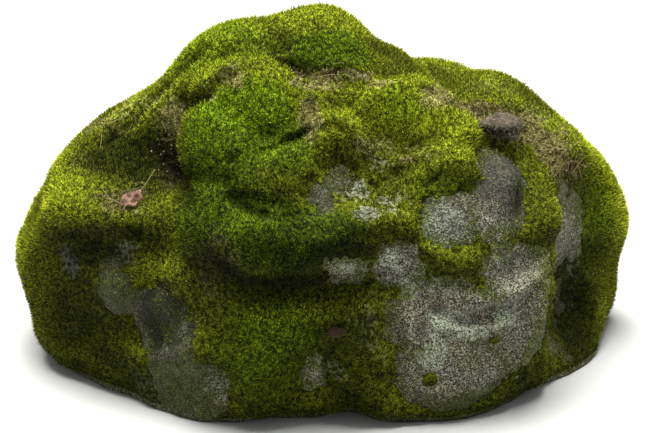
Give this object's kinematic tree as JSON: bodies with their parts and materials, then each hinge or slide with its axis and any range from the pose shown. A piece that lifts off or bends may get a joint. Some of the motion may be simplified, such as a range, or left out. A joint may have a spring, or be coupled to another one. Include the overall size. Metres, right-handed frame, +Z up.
{
  "type": "mossy rock",
  "caption": "Rounded granite boulder cut off flat at the ground, covered by a thick cushioned moss mat with bare stone showing on the front.",
  "frame": {"origin": "middle of the whole rock's footprint, on the flat cut base", "axes": "+X to the right as seen from the front, along the rock's longest side; +Y towards the back; +Z up"},
  "size_m": [1.243, 0.8592, 0.6828],
  "materials": {
    "granite": "rough speckled granite with pale lichen",
    "moss": "matte living moss",
    "loose_stone": "rough weathered stone",
    "bark": "dry rough bark"
  },
  "bodies": {
    "root": {"boulder": "granite", "moss_blanket": "moss", "moss_tuft_front": "moss", "moss_tuft_back": "moss", "loose_stone": "loose_stone", "bark_chip": "bark"}
  },
  "joints": []
}
